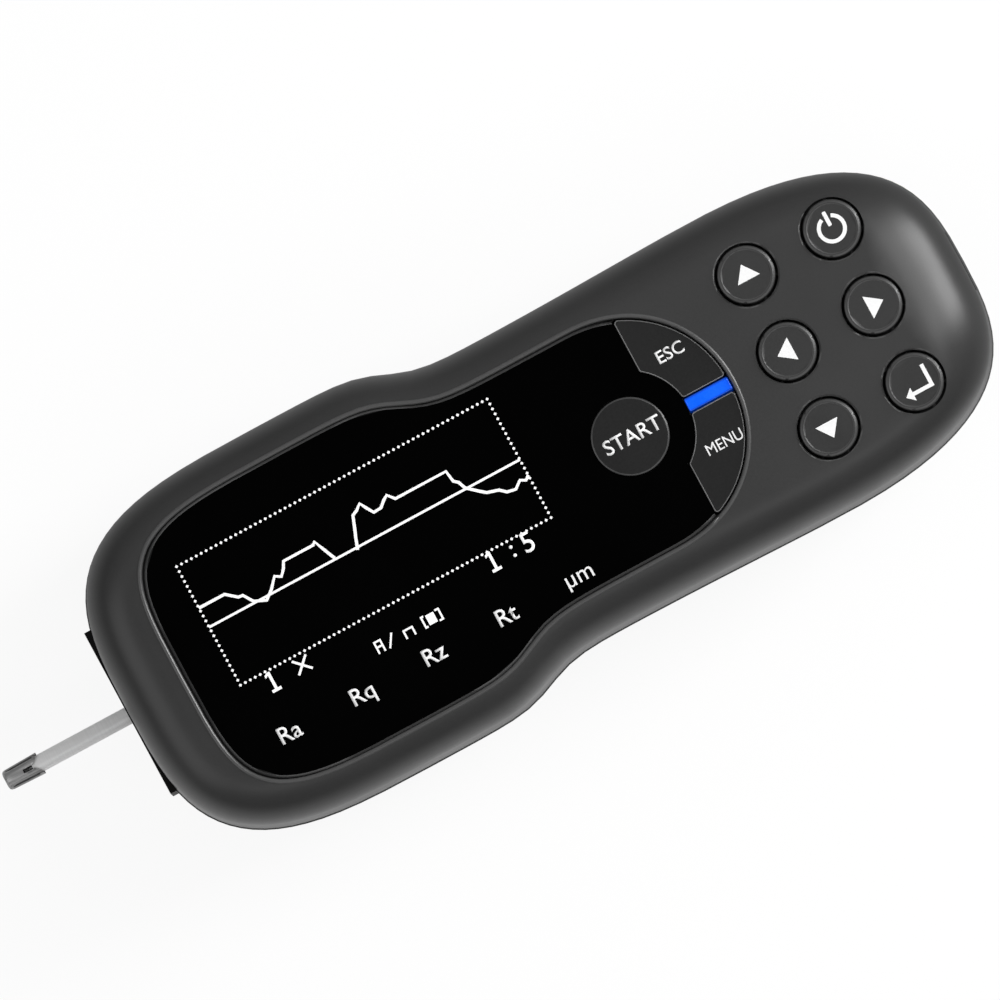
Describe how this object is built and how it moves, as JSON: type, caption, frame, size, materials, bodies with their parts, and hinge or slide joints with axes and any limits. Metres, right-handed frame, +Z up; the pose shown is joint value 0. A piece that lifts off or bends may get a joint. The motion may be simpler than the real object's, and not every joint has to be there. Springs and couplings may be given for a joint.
{
  "type": "surface roughness tester",
  "caption": "Hand-held surface roughness tester with a waisted housing, display window, round keys and a motor-driven stylus pickup at the nose.",
  "frame": {"origin": "middle of the flat base face, on the surface that the tester rests on", "axes": "+X from the pickup end to the keypad end, +Z up through the display and keys"},
  "size_m": [0.1813, 0.0634, 0.046],
  "materials": {
    "cover_plastic": "soft-touch charcoal",
    "case_plastic": "fine satin",
    "black_plastic": "satin",
    "window_gloss": "high gloss",
    "blue_lens": "lit lens",
    "key_plastic": "satin",
    "steel": "brushed",
    "bright_steel": "ground",
    "alloy": "machined",
    "bronze": "turned",
    "display_glass": "polished",
    "board": "solder mask",
    "lamp_body": "clear",
    "silicone": "matt",
    "battery_wrap": "shrink wrap",
    "gem": "cut stone"
  },
  "bodies": {
    "housing": {"top_cover": "cover_plastic", "lower_case": "case_plastic", "front_block": "black_plastic", "display_window": "window_gloss", "indicator_bar": "blue_lens", "display_module": "steel", "display_glass": "display_glass", "main_board": "board", "board_chips": "black_plastic", "indicator_lamp": "lamp_body", "key_mat": "silicone", "usb_socket": "steel", "battery_pack": "battery_wrap", "drive_frame": "alloy", "guide_rods": "bright_steel", "screw_bearings": "bronze", "gear_head": "bronze", "drive_motor": "steel", "limit_switches": "black_plastic", "case_screws": "steel", "board_screws": "steel", "frame_screws": "steel", "motor_screws": "steel"},
    "start": {"start_button": "key_plastic"},
    "esc": {"esc_button": "key_plastic"},
    "menu": {"menu_button": "key_plastic"},
    "up": {"up_key": "key_plastic"},
    "left": {"left_key": "key_plastic"},
    "down": {"down_key": "key_plastic"},
    "power": {"power_key": "key_plastic"},
    "right": {"right_key": "key_plastic"},
    "enter": {"enter_key": "key_plastic"},
    "slide": {"carriage": "alloy", "carriage_bushes": "bronze", "screw_nut": "bronze", "pickup_socket": "black_plastic", "pickup_plug": "bronze", "pickup_body": "case_plastic", "pickup_coil": "bronze", "pivot_pin": "bright_steel", "pickup_tube": "bright_steel", "tip_guard": "steel"},
    "screw": {"lead_screw": "bright_steel", "shaft_coupling": "alloy", "motor_shaft": "bright_steel"},
    "stylus": {"stylus_arm": "bright_steel", "stylus_tip": "gem"}
  },
  "joints": [
    {"name": "start_press", "type": "slide", "parent": "housing", "child": "start", "axis": [0, 0, -1], "range_m": [0, 0.0007], "stiffness_N_per_m": 800},
    {"name": "esc_press", "type": "slide", "parent": "housing", "child": "esc", "axis": [0, 0, -1], "range_m": [0, 0.0007], "stiffness_N_per_m": 800},
    {"name": "menu_press", "type": "slide", "parent": "housing", "child": "menu", "axis": [0, 0, -1], "range_m": [0, 0.0007], "stiffness_N_per_m": 800},
    {"name": "up_press", "type": "slide", "parent": "housing", "child": "up", "axis": [0, 0, -1], "range_m": [0, 0.0007], "stiffness_N_per_m": 800},
    {"name": "left_press", "type": "slide", "parent": "housing", "child": "left", "axis": [0, 0, -1], "range_m": [0, 0.0007], "stiffness_N_per_m": 800},
    {"name": "down_press", "type": "slide", "parent": "housing", "child": "down", "axis": [0, 0, -1], "range_m": [0, 0.0007], "stiffness_N_per_m": 800},
    {"name": "power_press", "type": "slide", "parent": "housing", "child": "power", "axis": [0, 0, -1], "range_m": [0, 0.0007], "stiffness_N_per_m": 800},
    {"name": "right_press", "type": "slide", "parent": "housing", "child": "right", "axis": [0, 0, -1], "range_m": [0, 0.0007], "stiffness_N_per_m": 800},
    {"name": "enter_press", "type": "slide", "parent": "housing", "child": "enter", "axis": [0, 0, -1], "range_m": [0, 0.0007], "stiffness_N_per_m": 800},
    {"name": "pickup_travel", "type": "slide", "parent": "housing", "child": "slide", "axis": [1, 0, 0], "range_m": [0, 0.0175]},
    {"name": "screw_turn", "type": "hinge", "parent": "housing", "child": "screw", "pos_m": [-0.03, 0, 0.0185], "axis": [1, 0, 0], "range_deg": [0, 6300]},
    {"name": "stylus_swing", "type": "hinge", "parent": "slide", "child": "stylus", "pos_m": [-0.064, 0, 0.011], "axis": [0, 1, 0], "range_deg": [-0.6, 0.6], "stiffness_Nm_per_rad": 0.002}
  ],
  "couplings": [
    {"joint": "screw_turn", "follows": "pickup_travel", "rad_per_m": 6283.2}
  ]
}
